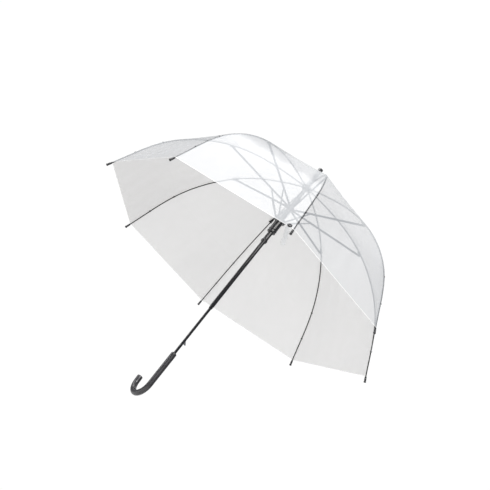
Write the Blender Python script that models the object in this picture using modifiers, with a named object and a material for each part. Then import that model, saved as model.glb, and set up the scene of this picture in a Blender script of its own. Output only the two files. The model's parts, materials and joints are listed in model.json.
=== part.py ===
"""Clear dome stick umbrella, shown open and upright.

Frame: metres, +Z up along the shaft, origin on the shaft axis in the middle of the grip.
The crook of the handle bends towards +X. Eight ribs stand at 22.5, 67.5 ... 337.5 degrees.
Each rib is three rods in line, hinged at the knee and at the elbow, so that it can fold along the shaft.
"""

import math

import bmesh
import bpy
from mathutils import Matrix, Vector

# Driving dimensions
RIM_Z = 0.345  # height of the film's rim above the grip
RIB_COUNT = 8
RIB_STEP = 2 * math.pi / RIB_COUNT
FIRST_RIB = RIB_STEP / 2
GAP = 0.0003  # running and resting clearance between pieces
EDGE = 0.0008  # chamfer of the moulded rings
CUT_OUT = 0.0020  # how far a cutter reaches past what it cuts
MERGE = 0.00001  # points closer than this are one

# Rib line in its own radial plane: (radius, height above the rim, slope below the horizontal in degrees)
RIB_PIVOT = (0.0105, 0.313, 4.0)
KNEE = (0.2385, 0.263, 27.0)  # where the stretcher holds the rib
ELBOW = (0.3790, 0.142, 56.0)
RIM_CORNER = (0.4490, -0.002, 65.0)
TIP_LENGTH = 0.017  # of the rib past the film's corner
RIB_RADIUS = 0.0015
TIP_CAP_RADIUS = 0.0029
TIP_BALL_RADIUS = 0.0035
TIP_PROFILE = (  # (share of the tip's length, radius)
    (0.06, RIB_RADIUS),
    (0.10, TIP_CAP_RADIUS),
    (0.72, TIP_CAP_RADIUS),
    (0.82, TIP_BALL_RADIUS),
    (0.94, TIP_BALL_RADIUS),
    (1.00, 0.0014),
)
HINGE_GAP = 0.0008  # each rod stops this far short of its hinge
ROOT_STEPS, MID_STEPS, TIP_STEPS = 7, 7, 6  # straight steps along each rod, shared by the film above it

# Shaft
TUBE_RADIUS = 0.0057
TUBE_WALL = 0.0016
TUBE_BOTTOM = -0.138
TUBE_TOP = 0.3205
TUBE_TAPER = 0.012
TUBE_LIP = 0.0005  # wall left at the taper's end
SHAFT_RADIUS = 0.0037
SHAFT_WALL = 0.0005
SHAFT_BOTTOM = -0.335
SHAFT_TOP = -0.060

# Notch that holds the ribs' inner ends
NOTCH_RADIUS = 0.0130
NOTCH_BOTTOM = 0.3070
NOTCH_TOP = 0.3162

# Upper runner: hub for the stretchers, tube, neck window and collar
RUNNER_PIVOT = (0.0095, 0.233)
RUNNER_HUB_RADIUS = 0.0115
RUNNER_HUB_HALF = 0.0045
RUNNER_RADIUS = 0.0070
COLLAR_RADIUS = 0.0082
COLLAR_TOP = 0.1130
COLLAR_BOTTOM = 0.1030
WINDOW_TOP = 0.1319  # of the neck window that drops over the catch
WINDOW_BOTTOM = 0.1231

# Lower runner: hub for the braces on a wide sleeve
DRIVE_PIVOT = (0.0145, 0.1845)
DRIVE_HUB_RADIUS = 0.0165
DRIVE_HUB_HALF = 0.0040
DRIVE_SLOT_DEPTH = 0.0025  # of the braces' slots, below their pivots
DRIVE_HUB_SLOPE = 0.0020  # height over which the hub's underside meets the sleeve
SLEEVE_RADIUS = 0.0115
SLEEVE_BOTTOM = 0.1400
SLEEVE_CHAMFER = 0.0015

# Stretchers and braces run beside the ribs' planes
STRETCHER_RADIUS = 0.0018
STRETCHER_SIDE = 0.00365
STRETCHER_DROP = 0.0020  # its outer end is this far under the rib's centre
BRACE_RADIUS = 0.0014
BRACE_SHARE = 0.28  # how far along the stretcher the brace takes hold

# Drive spring between the two runners
SPRING_RADIUS = 0.0086
SPRING_WIRE = 0.0005
SPRING_TURNS = 7

# Film
FILM_THICKNESS = 0.0005
FILM_HOLE_RADIUS = 0.0076
FILM_LIFT = RIB_RADIUS + 0.0005  # inner face above the ribs' centre line

# Ferrule
FERRULE_RADIUS = 0.0070
FERRULE_TOP = 0.3870
FERRULE_FLANGE_RADIUS = 0.0110
FERRULE_FLANGE_HEIGHT = 0.0016
FERRULE_NECK_HEIGHT = 0.0030  # where the flange's slope meets the body
FERRULE_CHAMFER = 0.0012
FERRULE_PLAY = 0.0010  # over the tube's end

# Handle
HANDLE_RADIUS = 0.0078
HANDLE_TOP = -0.293
BEND_START = -0.395
BEND_RADIUS = 0.035
BEND_ANGLE = math.radians(175)
BEND_STEPS = 14
HOOK_TAIL = 0.016
HANDLE_TOP_PROFILE = ((0.0, 0.80), (0.0012, 0.90), (0.030, 1.0))  # (depth, share of the radius)
HOOK_END_PROFILE = ((0.0015, 0.90), (0.0, 0.74))  # (distance to the end, share of the radius)
SOCKET_BOTTOM = SHAFT_BOTTOM - 0.002

# Catch that holds the runner down when the umbrella is closed, on the -Y side of the shaft
CATCH_AZIMUTH = -math.pi / 2
CATCH_PIVOT = (0.0021, -0.2320)
CATCH_NOSE_RADIUS = 0.0105
CATCH_NOSE_TOP = -0.2480
CATCH_NOSE_BOTTOM = -0.2588
CATCH_NOSE_LIP = 0.0020  # height of the nose's outer edge
CATCH_NECK = 0.0004  # the nose's slope starts this far under its top, and leaves the shaft as far again
CATCH_HEAD = 0.0010  # of the lever above its pivot
CATCH_HALF_THICKNESS = 0.0005
CATCH_WIDTH = 0.0026
CATCH_SLOT_PLAY = 0.0020  # over and under the nose

# Closing strap, on the rim between the third and the fourth rib, beside the fourth
STRAP_RIB = 4
STRAP_FROM_RIB = 0.0136
STRAP_ABOVE_RIM = 0.0030
STRAP_WIDTH = 0.0120
STRAP_THICKNESS = 0.0008
STRAP_DROP = 0.042  # its free end, below the snap
STRAP_CURL = 0.020  # and inwards of it
STRAP_DRIFT = 0.008  # and towards the rib
STRAP_TUCK = 0.006  # of it above the snap
STRAP_HOLD = 0.016  # length of each bend
STRAP_BULGE = 0.004  # and how far the bend stands off
STRAP_STEPS = 9
SNAP_RADIUS = 0.0060
SNAP_TOP_SHARE = 0.8
SNAP_THICKNESS = 0.0024

BLACK = (0.012, 0.012, 0.014)
GREY_STEEL = (0.30, 0.30, 0.32)
CLEAR = (0.92, 0.93, 0.93)


def clear_scene():
    for obj in list(bpy.data.objects):
        bpy.data.objects.remove(obj, do_unlink=True)


def new_collection(name):
    collection = bpy.data.collections.new(name)
    bpy.context.scene.collection.children.link(collection)
    return collection


def new_material(name, colour, roughness, metallic=0.0, alpha=1.0):
    material = bpy.data.materials.new(name)
    material.use_nodes = True
    shader = material.node_tree.nodes["Principled BSDF"]
    shader.inputs["Base Color"].default_value = (*colour, 1.0)
    shader.inputs["Roughness"].default_value = roughness
    shader.inputs["Metallic"].default_value = metallic
    shader.inputs["Alpha"].default_value = alpha
    return material


def add_object(name, data, material, collection, location=(0, 0, 0), azimuth=0.0):
    obj = bpy.data.objects.new(name, data)
    collection.objects.link(obj)
    obj.location = location
    obj.rotation_euler = (0.0, 0.0, azimuth)
    if not data.materials:
        data.materials.append(material)
    return obj


def above_rim(radius, height, azimuth=0.0):
    """The point at that radius, azimuth and height over the rim plane."""
    return Vector((radius * math.cos(azimuth), radius * math.sin(azimuth), height + RIM_Z))


def rib_azimuth(number):
    return FIRST_RIB + (number - 1) * RIB_STEP


# Turned pieces


def turned(name, profile, material, collection, steps=32):
    """A Screw of (radius, height over the rim) points, given down the outer side. A profile off the axis closes."""
    mesh = bpy.data.meshes.new(name)
    points = [(radius, 0.0, height + RIM_Z) for radius, height in profile]
    edges = [(i, i + 1) for i in range(len(points) - 1)]
    if profile[0][0] > 0:
        edges.append((len(points) - 1, 0))
    mesh.from_pydata(points, edges, [])
    obj = add_object(name, mesh, material, collection)
    screw = obj.modifiers.new("turn", "SCREW")
    screw.steps = steps
    screw.render_steps = steps
    screw.use_merge_vertices = True
    screw.merge_threshold = MERGE
    return obj


def slot_cutter(name, count, width, inner, outer, bottom, top, side, collection):
    """Radial slots round the axis, each a box whose middle plane is side to the left of its radius."""
    build = bmesh.new()
    middle = Vector(((inner + outer) / 2, side, (bottom + top) / 2 + RIM_Z))
    size = (outer - inner, width, top - bottom)
    for number in range(1, count + 1):
        turn = Matrix.Rotation(rib_azimuth(number), 4, "Z")
        bmesh.ops.create_cube(build, size=1.0, matrix=turn @ Matrix.LocRotScale(middle, None, size))
    mesh = bpy.data.meshes.new(name)
    build.to_mesh(mesh)
    build.free()
    return as_cutter(name, mesh, collection)


def catch_window(name, outer, bottom, top, collection):
    """An opening for the catch's nose in one side of a hollow piece, from its axis out."""
    build = bmesh.new()
    middle = above_rim(outer / 2, (bottom + top) / 2, CATCH_AZIMUTH)
    size = (CATCH_WIDTH + 2 * GAP, outer, top - bottom)
    bmesh.ops.create_cube(build, size=1.0, matrix=Matrix.LocRotScale(middle, None, size))
    mesh = bpy.data.meshes.new(name)
    build.to_mesh(mesh)
    build.free()
    return as_cutter(name, mesh, collection)


def as_cutter(name, mesh, collection):
    obj = bpy.data.objects.new(name, mesh)
    collection.objects.link(obj)
    obj.hide_render = True
    obj.display_type = "WIRE"
    return obj


def cut(obj, cutter):
    boolean = obj.modifiers.new(cutter.name, "BOOLEAN")
    boolean.operation = "DIFFERENCE"
    boolean.object = cutter


# Rods


def rod(name, points, radius, material, collection, location, azimuth, sizes=None, resolution=2):
    """A round rod along (radius, side, height) points given from its hinge, in the plane at that azimuth."""
    curve = bpy.data.curves.new(name, "CURVE")
    curve.dimensions = "3D"
    curve.bevel_depth = radius
    curve.bevel_resolution = resolution
    curve.use_fill_caps = True
    spline = curve.splines.new("POLY")
    spline.points.add(len(points) - 1)
    for i, point in enumerate(points):
        spline.points[i].co = (*point, 1.0)
        spline.points[i].radius = sizes[i] if sizes else 1.0
    return add_object(name, curve, material, collection, location, azimuth)


def hermite(start, end, share):
    """A point between two (radius, height, slope) stations of the rib line."""
    first, last = Vector(start[:2]), Vector(end[:2])
    reach = (last - first).length
    leave = reach * Vector((math.cos(math.radians(start[2])), -math.sin(math.radians(start[2]))))
    arrive = reach * Vector((math.cos(math.radians(end[2])), -math.sin(math.radians(end[2]))))
    t = share
    return (
        (2 * t**3 - 3 * t**2 + 1) * first
        + (t**3 - 2 * t**2 + t) * leave
        + (3 * t**2 - 2 * t**3) * last
        + (t**3 - t**2) * arrive
    )


def rib_line(start, end, count):
    return [hermite(start, end, i / count) for i in range(count + 1)]


def pulled_in(points, at_start, at_end):
    """The same line, shorter by those lengths at its two ends."""
    line = [point.copy() for point in points]
    line[0] += at_start * (line[1] - line[0]).normalized()
    line[-1] += at_end * (line[-2] - line[-1]).normalized()
    return line


def tip_end():
    slope = math.radians(RIM_CORNER[2])
    return Vector(RIM_CORNER[:2]) + TIP_LENGTH * Vector((math.cos(slope), -math.sin(slope)))


def make_ribs(material, collection):
    root_line = pulled_in(rib_line(RIB_PIVOT, KNEE, ROOT_STEPS), -RIB_RADIUS, HINGE_GAP)
    mid_line = pulled_in(rib_line(KNEE, ELBOW, MID_STEPS), HINGE_GAP, HINGE_GAP)
    tip_line = pulled_in(rib_line(ELBOW, RIM_CORNER, TIP_STEPS), HINGE_GAP, 0.0)
    end = tip_end()
    corner = tip_line[-1]
    cap = [corner.lerp(end, share) for share, _ in TIP_PROFILE]
    cap_sizes = [radius / RIB_RADIUS for _, radius in TIP_PROFILE]
    lines = {
        "rib_root": (root_line, RIB_PIVOT, None),
        "rib_mid": (mid_line, KNEE, None),
        "rib_tip": (tip_line + cap, ELBOW, [1.0] * len(tip_line) + cap_sizes),
    }
    for number in range(1, RIB_COUNT + 1):
        azimuth = rib_azimuth(number)
        for label, (line, hinge, sizes) in lines.items():
            points = [(p.x - hinge[0], 0.0, p.y - hinge[1]) for p in line]
            at = above_rim(hinge[0], hinge[1], azimuth)
            rod(f"{label}_{number}", points, RIB_RADIUS, material, collection, at, azimuth, sizes)


def stretcher_end():
    slope = math.radians(KNEE[2])
    return Vector(KNEE[:2]) - STRETCHER_DROP * Vector((math.sin(slope), math.cos(slope)))


def make_arms(material, collection):
    """The stretchers from the upper runner to the ribs, and the braces from the lower runner to the stretchers."""
    hub, drive = Vector(RUNNER_PIVOT), Vector(DRIVE_PIVOT)
    outer = stretcher_end()
    hold = hub.lerp(outer, BRACE_SHARE)
    arms = (
        ("stretcher", hub, outer, STRETCHER_RADIUS, STRETCHER_SIDE),
        ("brace", drive, hold, BRACE_RADIUS, 0.0),
    )
    for label, inner, end, radius, side in arms:
        start = inner - radius * (end - inner).normalized()
        points = [(p.x - inner.x, side, p.y - inner.y) for p in (start, end)]
        for number in range(1, RIB_COUNT + 1):
            azimuth = rib_azimuth(number)
            at = above_rim(inner.x, inner.y, azimuth)
            rod(f"{label}_{number}", points, radius, material, collection, at, azimuth)


# Film


def film_line():
    """The film's inner face over a rib, from the hole at the notch to the rim."""
    under = NOTCH_TOP + GAP
    line = [Vector((FILM_HOLE_RADIUS, under)), Vector((NOTCH_RADIUS, under))]
    stations = rib_line(RIB_PIVOT, KNEE, ROOT_STEPS)[1:]
    stations += rib_line(KNEE, ELBOW, MID_STEPS)[1:]
    stations += rib_line(ELBOW, RIM_CORNER, TIP_STEPS)[1:]
    for i, point in enumerate(stations):
        after = stations[min(i + 1, len(stations) - 1)]
        before = stations[max(i - 1, 0)]
        along = (after - before).normalized()
        line.append(point + FILM_LIFT * Vector((-along.y, along.x)))
    return line


def make_gores(material, collection):
    """One flat-sided film panel between each two ribs, joined to the knee of the first of them."""
    line = film_line()
    half = RIB_STEP / 2
    for number in range(1, RIB_COUNT + 1):
        name = f"canopy_gore_{number}"
        middle = rib_azimuth(number) + half
        knee = Matrix.Rotation(-half, 3, "Z") @ above_rim(KNEE[0], KNEE[1])
        points = []
        for station in line:
            across = station.x * math.sin(half) - GAP
            inward = station.x * math.cos(half)
            points.append(Vector((inward, -across, station.y + RIM_Z)) - knee)
            points.append(Vector((inward, across, station.y + RIM_Z)) - knee)
        faces = [(2 * i, 2 * i + 2, 2 * i + 3, 2 * i + 1) for i in range(len(line) - 1)]
        mesh = bpy.data.meshes.new(name)
        mesh.from_pydata(points, [], faces)
        location = Matrix.Rotation(middle, 3, "Z") @ knee
        gore = add_object(name, mesh, material, collection, location, middle)
        shell = gore.modifiers.new("film", "SOLIDIFY")
        shell.thickness = FILM_THICKNESS
        shell.offset = 1.0


# Shaft, runners and notch


def make_shaft(black, steel, collection, cutters):
    inner = TUBE_RADIUS - TUBE_WALL
    tube = [
        (TUBE_RADIUS, TUBE_TOP),
        (TUBE_RADIUS, TUBE_BOTTOM + TUBE_TAPER),
        (inner + TUBE_LIP, TUBE_BOTTOM),
        (inner, TUBE_BOTTOM),
        (inner, TUBE_TOP),
    ]
    turned("upper_tube", tube, black, collection)
    bore = SHAFT_RADIUS - SHAFT_WALL
    shaft = [(SHAFT_RADIUS, SHAFT_TOP), (SHAFT_RADIUS, SHAFT_BOTTOM), (bore, SHAFT_BOTTOM), (bore, SHAFT_TOP)]
    lower = turned("lower_shaft", shaft, steel, collection)
    bottom, top = CATCH_NOSE_BOTTOM - CATCH_SLOT_PLAY, CATCH_NOSE_TOP + CATCH_SLOT_PLAY
    cut(lower, catch_window("catch_slot", SHAFT_RADIUS + CUT_OUT, bottom, top, cutters))


def make_notch(material, collection, cutters):
    bore = TUBE_RADIUS + GAP
    profile = [
        (NOTCH_RADIUS - EDGE, NOTCH_TOP),
        (NOTCH_RADIUS, NOTCH_TOP - EDGE),
        (NOTCH_RADIUS, NOTCH_BOTTOM + EDGE),
        (NOTCH_RADIUS - EDGE, NOTCH_BOTTOM),
        (bore, NOTCH_BOTTOM),
        (bore, NOTCH_TOP),
    ]
    notch = turned("top_notch", profile, material, collection)
    inner = RIB_PIVOT[0] - RIB_RADIUS - 2 * GAP
    slot = 2 * (RIB_RADIUS + GAP)
    outer = NOTCH_RADIUS + CUT_OUT
    bottom, top = NOTCH_BOTTOM - CUT_OUT, NOTCH_TOP + CUT_OUT
    cut(notch, slot_cutter("notch_slots", RIB_COUNT, slot, inner, outer, bottom, top, 0.0, cutters))


def make_runners(material, collection, cutters):
    bore = TUBE_RADIUS + GAP
    top, hub_bottom = RUNNER_PIVOT[1] + RUNNER_HUB_HALF, RUNNER_PIVOT[1] - RUNNER_HUB_HALF
    profile = [
        (RUNNER_HUB_RADIUS - EDGE, top),
        (RUNNER_HUB_RADIUS, top - EDGE),
        (RUNNER_HUB_RADIUS, hub_bottom),
        (RUNNER_RADIUS, hub_bottom),
        (RUNNER_RADIUS, COLLAR_TOP),
        (COLLAR_RADIUS, COLLAR_TOP - EDGE),
        (COLLAR_RADIUS, COLLAR_BOTTOM + EDGE),
        (COLLAR_RADIUS - EDGE, COLLAR_BOTTOM),
        (bore, COLLAR_BOTTOM),
        (bore, top),
    ]
    runner = turned("upper_runner", profile, material, collection)
    inner = RUNNER_PIVOT[0] - STRETCHER_RADIUS - 2 * GAP
    slot = 2 * (STRETCHER_RADIUS + GAP)
    outer = RUNNER_HUB_RADIUS + CUT_OUT
    low, high = hub_bottom - MERGE, top + CUT_OUT
    cut(runner, slot_cutter("runner_slots", RIB_COUNT, slot, inner, outer, low, high, STRETCHER_SIDE, cutters))
    cut(runner, catch_window("runner_window", COLLAR_RADIUS + CUT_OUT, WINDOW_BOTTOM, WINDOW_TOP, cutters))

    bore = RUNNER_RADIUS + GAP
    top, hub_bottom = DRIVE_PIVOT[1] + DRIVE_HUB_HALF, DRIVE_PIVOT[1] - DRIVE_HUB_HALF
    profile = [
        (DRIVE_HUB_RADIUS - EDGE, top),
        (DRIVE_HUB_RADIUS, top - EDGE),
        (DRIVE_HUB_RADIUS, hub_bottom),
        (SLEEVE_RADIUS, hub_bottom - DRIVE_HUB_SLOPE),
        (SLEEVE_RADIUS, SLEEVE_BOTTOM + SLEEVE_CHAMFER),
        (SLEEVE_RADIUS - SLEEVE_CHAMFER, SLEEVE_BOTTOM),
        (bore, SLEEVE_BOTTOM),
        (bore, top),
    ]
    sleeve = turned("drive_runner", profile, material, collection)
    inner = DRIVE_PIVOT[0] - BRACE_RADIUS - 2 * GAP
    slot = 2 * (BRACE_RADIUS + GAP)
    outer = DRIVE_HUB_RADIUS + CUT_OUT
    low, high = DRIVE_PIVOT[1] - DRIVE_SLOT_DEPTH, top + CUT_OUT
    cut(sleeve, slot_cutter("drive_slots", RIB_COUNT, slot, inner, outer, low, high, 0.0, cutters))


def make_spring(material, collection):
    top = RUNNER_PIVOT[1] - RUNNER_HUB_HALF - SPRING_WIRE - GAP
    bottom = DRIVE_PIVOT[1] + DRIVE_HUB_HALF + SPRING_WIRE + GAP
    per_turn = 12
    count = SPRING_TURNS * per_turn
    points = []
    for i in range(count + 1):
        turn = 2 * math.pi * i / per_turn
        share = i / count
        height = bottom - top
        points.append((SPRING_RADIUS * math.cos(turn), SPRING_RADIUS * math.sin(turn), share * height))
    rod("drive_spring", points, SPRING_WIRE, material, collection, above_rim(0.0, top), 0.0)


def make_ferrule(material, collection):
    base = NOTCH_TOP + 2 * GAP + FILM_THICKNESS
    profile = [
        (0.0, FERRULE_TOP),
        (FERRULE_RADIUS - FERRULE_CHAMFER, FERRULE_TOP),
        (FERRULE_RADIUS, FERRULE_TOP - FERRULE_CHAMFER),
        (FERRULE_RADIUS, base + FERRULE_NECK_HEIGHT),
        (FERRULE_FLANGE_RADIUS, base + FERRULE_FLANGE_HEIGHT),
        (FERRULE_FLANGE_RADIUS, base),
        (TUBE_RADIUS + GAP, base),
        (TUBE_RADIUS + GAP, TUBE_TOP + FERRULE_PLAY),
        (0.0, TUBE_TOP + FERRULE_PLAY),
    ]
    turned("ferrule", profile, material, collection)


def make_handle(material, collection, cutters):
    """The grip and its crook: one rod with a socket for the shaft, a little slimmer at both ends."""
    line = [(0.0, HANDLE_TOP - depth) for depth, _ in HANDLE_TOP_PROFILE]
    sizes = [size for _, size in HANDLE_TOP_PROFILE]
    for i in range(BEND_STEPS + 1):
        turn = BEND_ANGLE * i / BEND_STEPS
        line.append((BEND_RADIUS * (1 - math.cos(turn)), BEND_START - BEND_RADIUS * math.sin(turn)))
        sizes.append(1.0)
    end = Vector(line[-1])
    way = Vector((math.sin(BEND_ANGLE), -math.cos(BEND_ANGLE)))
    for short, size in HOOK_END_PROFILE:
        line.append(tuple(end + (HOOK_TAIL - short) * way))
        sizes.append(size)
    points = [(x, 0.0, z - HANDLE_TOP) for x, z in line]
    at = above_rim(0.0, HANDLE_TOP)
    curve = rod("handle_curve", points, HANDLE_RADIUS, material, collection, at, 0.0, sizes, resolution=4)
    graph = bpy.context.evaluated_depsgraph_get()
    mesh = bpy.data.meshes.new_from_object(curve.evaluated_get(graph))
    mesh.name = "crook_handle"
    build = bmesh.new()
    build.from_mesh(mesh)
    bmesh.ops.remove_doubles(build, verts=build.verts, dist=MERGE)
    build.to_mesh(mesh)
    build.free()
    handle = add_object("crook_handle", mesh, material, collection)
    handle.matrix_world = curve.matrix_world.copy()
    bpy.data.objects.remove(curve)
    socket = bpy.data.meshes.new("handle_socket")
    build = bmesh.new()
    depth = HANDLE_TOP + CUT_OUT - SOCKET_BOTTOM
    bmesh.ops.create_cone(
        build,
        cap_ends=True,
        segments=32,
        radius1=SHAFT_RADIUS + GAP,
        radius2=SHAFT_RADIUS + GAP,
        depth=depth,
        matrix=Matrix.Translation(above_rim(0.0, SOCKET_BOTTOM + depth / 2)),
    )
    build.to_mesh(socket)
    build.free()
    cut(handle, as_cutter("handle_socket", socket, cutters))


# Catch, strap and snap


def flat_outline(name, outline, thickness, material, collection, location, azimuth):
    """A flat piece of that outline, (radius, height) from its hinge, standing in the plane at that azimuth."""
    curve = bpy.data.curves.new(name, "CURVE")
    curve.dimensions = "2D"
    curve.fill_mode = "BOTH"
    curve.extrude = thickness / 2
    spline = curve.splines.new("POLY")
    spline.points.add(len(outline) - 1)
    for i, (x, y) in enumerate(outline):
        spline.points[i].co = (x, y, 0.0, 1.0)
    spline.use_cyclic_u = True
    obj = add_object(name, curve, material, collection, location)
    obj.rotation_euler = (math.pi / 2, 0.0, azimuth)
    return obj


def make_catch(material, collection):
    pivot_r, pivot_z = CATCH_PIVOT
    back, front = pivot_r - CATCH_HALF_THICKNESS, pivot_r + CATCH_HALF_THICKNESS
    outline = [
        (back, pivot_z + CATCH_HEAD),
        (front, pivot_z + CATCH_HEAD),
        (front, CATCH_NOSE_TOP - CATCH_NECK),
        (SHAFT_RADIUS, CATCH_NOSE_TOP - 2 * CATCH_NECK),
        (CATCH_NOSE_RADIUS, CATCH_NOSE_BOTTOM + CATCH_NOSE_LIP),
        (CATCH_NOSE_RADIUS, CATCH_NOSE_BOTTOM),
        (front, CATCH_NOSE_BOTTOM),
    ]
    local = [(r - pivot_r, z - pivot_z) for r, z in outline]
    at = above_rim(pivot_r, pivot_z, CATCH_AZIMUTH)
    flat_outline("catch_lever", local, CATCH_WIDTH, material, collection, at, CATCH_AZIMUTH)


def strap_frame():
    """Where the strap is held: the point on the film, the way along the rim, down the film and out of it."""
    last_step = film_line()[-1] - film_line()[-2]
    slope = math.atan2(-last_step.y, last_step.x)
    rib, middle = rib_azimuth(STRAP_RIB), rib_azimuth(STRAP_RIB) - RIB_STEP / 2
    out_flat = Vector((math.cos(middle), math.sin(middle), 0.0))
    along = Vector((math.sin(middle), -math.cos(middle), 0.0))
    down = out_flat * math.cos(slope) * math.cos(RIB_STEP / 2) - Vector((0, 0, math.sin(slope)))
    down.normalize()
    out = along.cross(down)
    corner = above_rim(*film_line()[-1], rib)
    centre = corner + STRAP_FROM_RIB * along - STRAP_ABOVE_RIM * down + FILM_THICKNESS * out
    return centre, along, down, out


def strap_line(start, along, down, out):
    """The strap's middle line: up behind the snap, down off the rim, then curled in under it."""
    inward = -Vector((out.x, out.y, 0.0)).normalized()
    end = start + STRAP_CURL * inward - STRAP_DRIFT * along - Vector((0, 0, STRAP_DROP))
    first_hold = start + STRAP_HOLD * down + STRAP_BULGE * out
    last_hold = end + Vector((0, 0, STRAP_HOLD)) - STRAP_BULGE * inward
    line = [start - STRAP_TUCK * down]
    for i in range(STRAP_STEPS + 1):
        t = i / STRAP_STEPS
        line.append(
            (1 - t) ** 3 * start
            + 3 * t * (1 - t) ** 2 * first_hold
            + 3 * t**2 * (1 - t) * last_hold
            + t**3 * end
        )
    return line


def make_strap(clear, black, collection):
    centre, along, down, out = strap_frame()
    start = centre + (2 * GAP + STRAP_THICKNESS) * out
    mesh = bpy.data.meshes.new("closing_strap")
    points = strap_line(start, along, down, out)
    rows = []
    for point in points:
        rows.append(point - along * STRAP_WIDTH / 2 - start)
        rows.append(point + along * STRAP_WIDTH / 2 - start)
    faces = [(2 * i, 2 * i + 1, 2 * i + 3, 2 * i + 2) for i in range(len(points) - 1)]
    mesh.from_pydata(rows, [], faces)
    strap = add_object("closing_strap", mesh, clear, collection, start)
    shell = strap.modifiers.new("strip", "SOLIDIFY")
    shell.thickness = STRAP_THICKNESS
    shell.offset = -1.0

    build = bmesh.new()
    turn = out.to_track_quat("Z", "Y").to_matrix().to_4x4()
    bmesh.ops.create_cone(
        build,
        cap_ends=True,
        segments=24,
        radius1=SNAP_RADIUS,
        radius2=SNAP_RADIUS * SNAP_TOP_SHARE,
        depth=SNAP_THICKNESS,
    )
    snap = bpy.data.meshes.new("strap_snap")
    build.to_mesh(snap)
    build.free()
    snap.transform(turn)
    at = start + (GAP + SNAP_THICKNESS / 2) * out
    add_object("strap_snap", snap, black, collection, at)


def main():
    clear_scene()
    parts = new_collection("dome_umbrella")
    cutters = new_collection("cutters")
    cutters.hide_render = True
    black = new_material("black_plastic", BLACK, 0.35)
    rod_black = new_material("black_rod", BLACK, 0.40, metallic=0.2)
    steel = new_material("dark_steel", GREY_STEEL, 0.30, metallic=1.0)
    clear = new_material("clear_film", CLEAR, 0.08, alpha=0.3)
    strip = new_material("clear_strap", CLEAR, 0.15, alpha=0.5)
    make_shaft(black, rod_black, parts, cutters)
    make_notch(black, parts, cutters)
    make_runners(black, parts, cutters)
    make_spring(steel, parts)
    make_ferrule(black, parts)
    make_handle(black, parts, cutters)
    make_catch(steel, parts)
    make_ribs(rod_black, parts)
    make_arms(rod_black, parts)
    make_gores(clear, parts)
    make_strap(strip, black, parts)


main()
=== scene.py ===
"""The looks of the clear dome umbrella: film panels, rods, fittings, grip, materials, light and camera."""

import json
import math

import bpy
import numpy as np
from mathutils import Matrix, Quaternion, Vector


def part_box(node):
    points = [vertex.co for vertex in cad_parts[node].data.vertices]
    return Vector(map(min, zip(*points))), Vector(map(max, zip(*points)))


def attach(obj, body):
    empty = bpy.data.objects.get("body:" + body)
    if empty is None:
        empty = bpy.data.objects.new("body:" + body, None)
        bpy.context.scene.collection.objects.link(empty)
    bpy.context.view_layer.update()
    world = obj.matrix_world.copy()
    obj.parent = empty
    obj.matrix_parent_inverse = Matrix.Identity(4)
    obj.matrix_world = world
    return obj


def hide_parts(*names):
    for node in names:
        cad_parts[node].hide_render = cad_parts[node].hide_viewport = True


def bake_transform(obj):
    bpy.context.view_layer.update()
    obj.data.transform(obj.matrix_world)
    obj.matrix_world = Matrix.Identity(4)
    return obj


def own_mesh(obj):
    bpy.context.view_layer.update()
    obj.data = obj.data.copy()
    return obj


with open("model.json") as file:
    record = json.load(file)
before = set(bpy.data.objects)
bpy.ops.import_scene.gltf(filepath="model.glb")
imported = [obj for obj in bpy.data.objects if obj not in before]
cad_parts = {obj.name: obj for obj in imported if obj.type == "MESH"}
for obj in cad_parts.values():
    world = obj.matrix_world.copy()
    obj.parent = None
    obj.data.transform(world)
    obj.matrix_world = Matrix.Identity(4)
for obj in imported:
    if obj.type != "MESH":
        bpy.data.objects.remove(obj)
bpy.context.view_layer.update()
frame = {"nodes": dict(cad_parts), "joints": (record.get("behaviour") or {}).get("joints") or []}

RIBS = range(1, 9)
HALF = math.pi / 8  # from a rib to the middle of the panel beside it
UP = Vector((0, 0, 1))


# Camera and stage

CAMERA_PLACE = Vector((-2.286, 1.173, -0.557))
CAMERA_AZIMUTH = -26.41  # where it looks, in degrees from +X towards +Y
CAMERA_RISE = 20.61
CAMERA_ROLL = math.radians(38.86)
CAMERA_LENS = 74.08
BACKDROP = ((1, 1, 1), 1.02)  # colour and strength
ROOM = ((0.985, 0.99, 1), 0.86)
MIRRORED_ROOM = ((0.96, 0.98, 1), 0.34)  # dark, as with black flags, so that the fittings stay black
FLOOR_Z, FLOOR_REACH = -0.72, 7.0
FLOOR_COLOUR = (0.74, 0.74, 0.735)
DOME_MIDDLE = Vector((0, 0, 0.50))
SHAFT_MIDDLE = Vector((0, 0, 0.20))
SOFTBOXES = (  # name, azimuth, rise, distance, width, height, power, what it faces
    ("overhead_softbox", 80, 58, 2.4, 2.2, 2.2, 42, DOME_MIDDLE),
    ("side_softbox", 66, 30, 2.6, 0.7, 2.4, 36, SHAFT_MIDDLE),
    ("front_softbox", 154, 23, 3.4, 2.6, 0.8, 100, DOME_MIDDLE),
    ("back_softbox", -48, 46, 2.6, 2.0, 2.0, 8, DOME_MIDDLE),
)


def direction(azimuth, rise):
    """The unit vector at that azimuth and elevation, in degrees."""
    a, e = math.radians(azimuth), math.radians(rise)
    return Vector((math.cos(a) * math.cos(e), math.sin(a) * math.cos(e), math.sin(e)))


def make_camera():
    camera = bpy.data.objects.new("camera", bpy.data.cameras.new("camera"))
    bpy.context.scene.collection.objects.link(camera)
    forward = direction(CAMERA_AZIMUTH, CAMERA_RISE)
    camera.location = CAMERA_PLACE
    camera.rotation_mode = "QUATERNION"
    camera.rotation_quaternion = forward.to_track_quat("-Z", "Y") @ Quaternion((0, 0, 1), CAMERA_ROLL)
    camera.data.lens = CAMERA_LENS
    camera.data.sensor_width = 36
    camera.data.clip_end = 50
    bpy.context.scene.camera = camera


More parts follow.
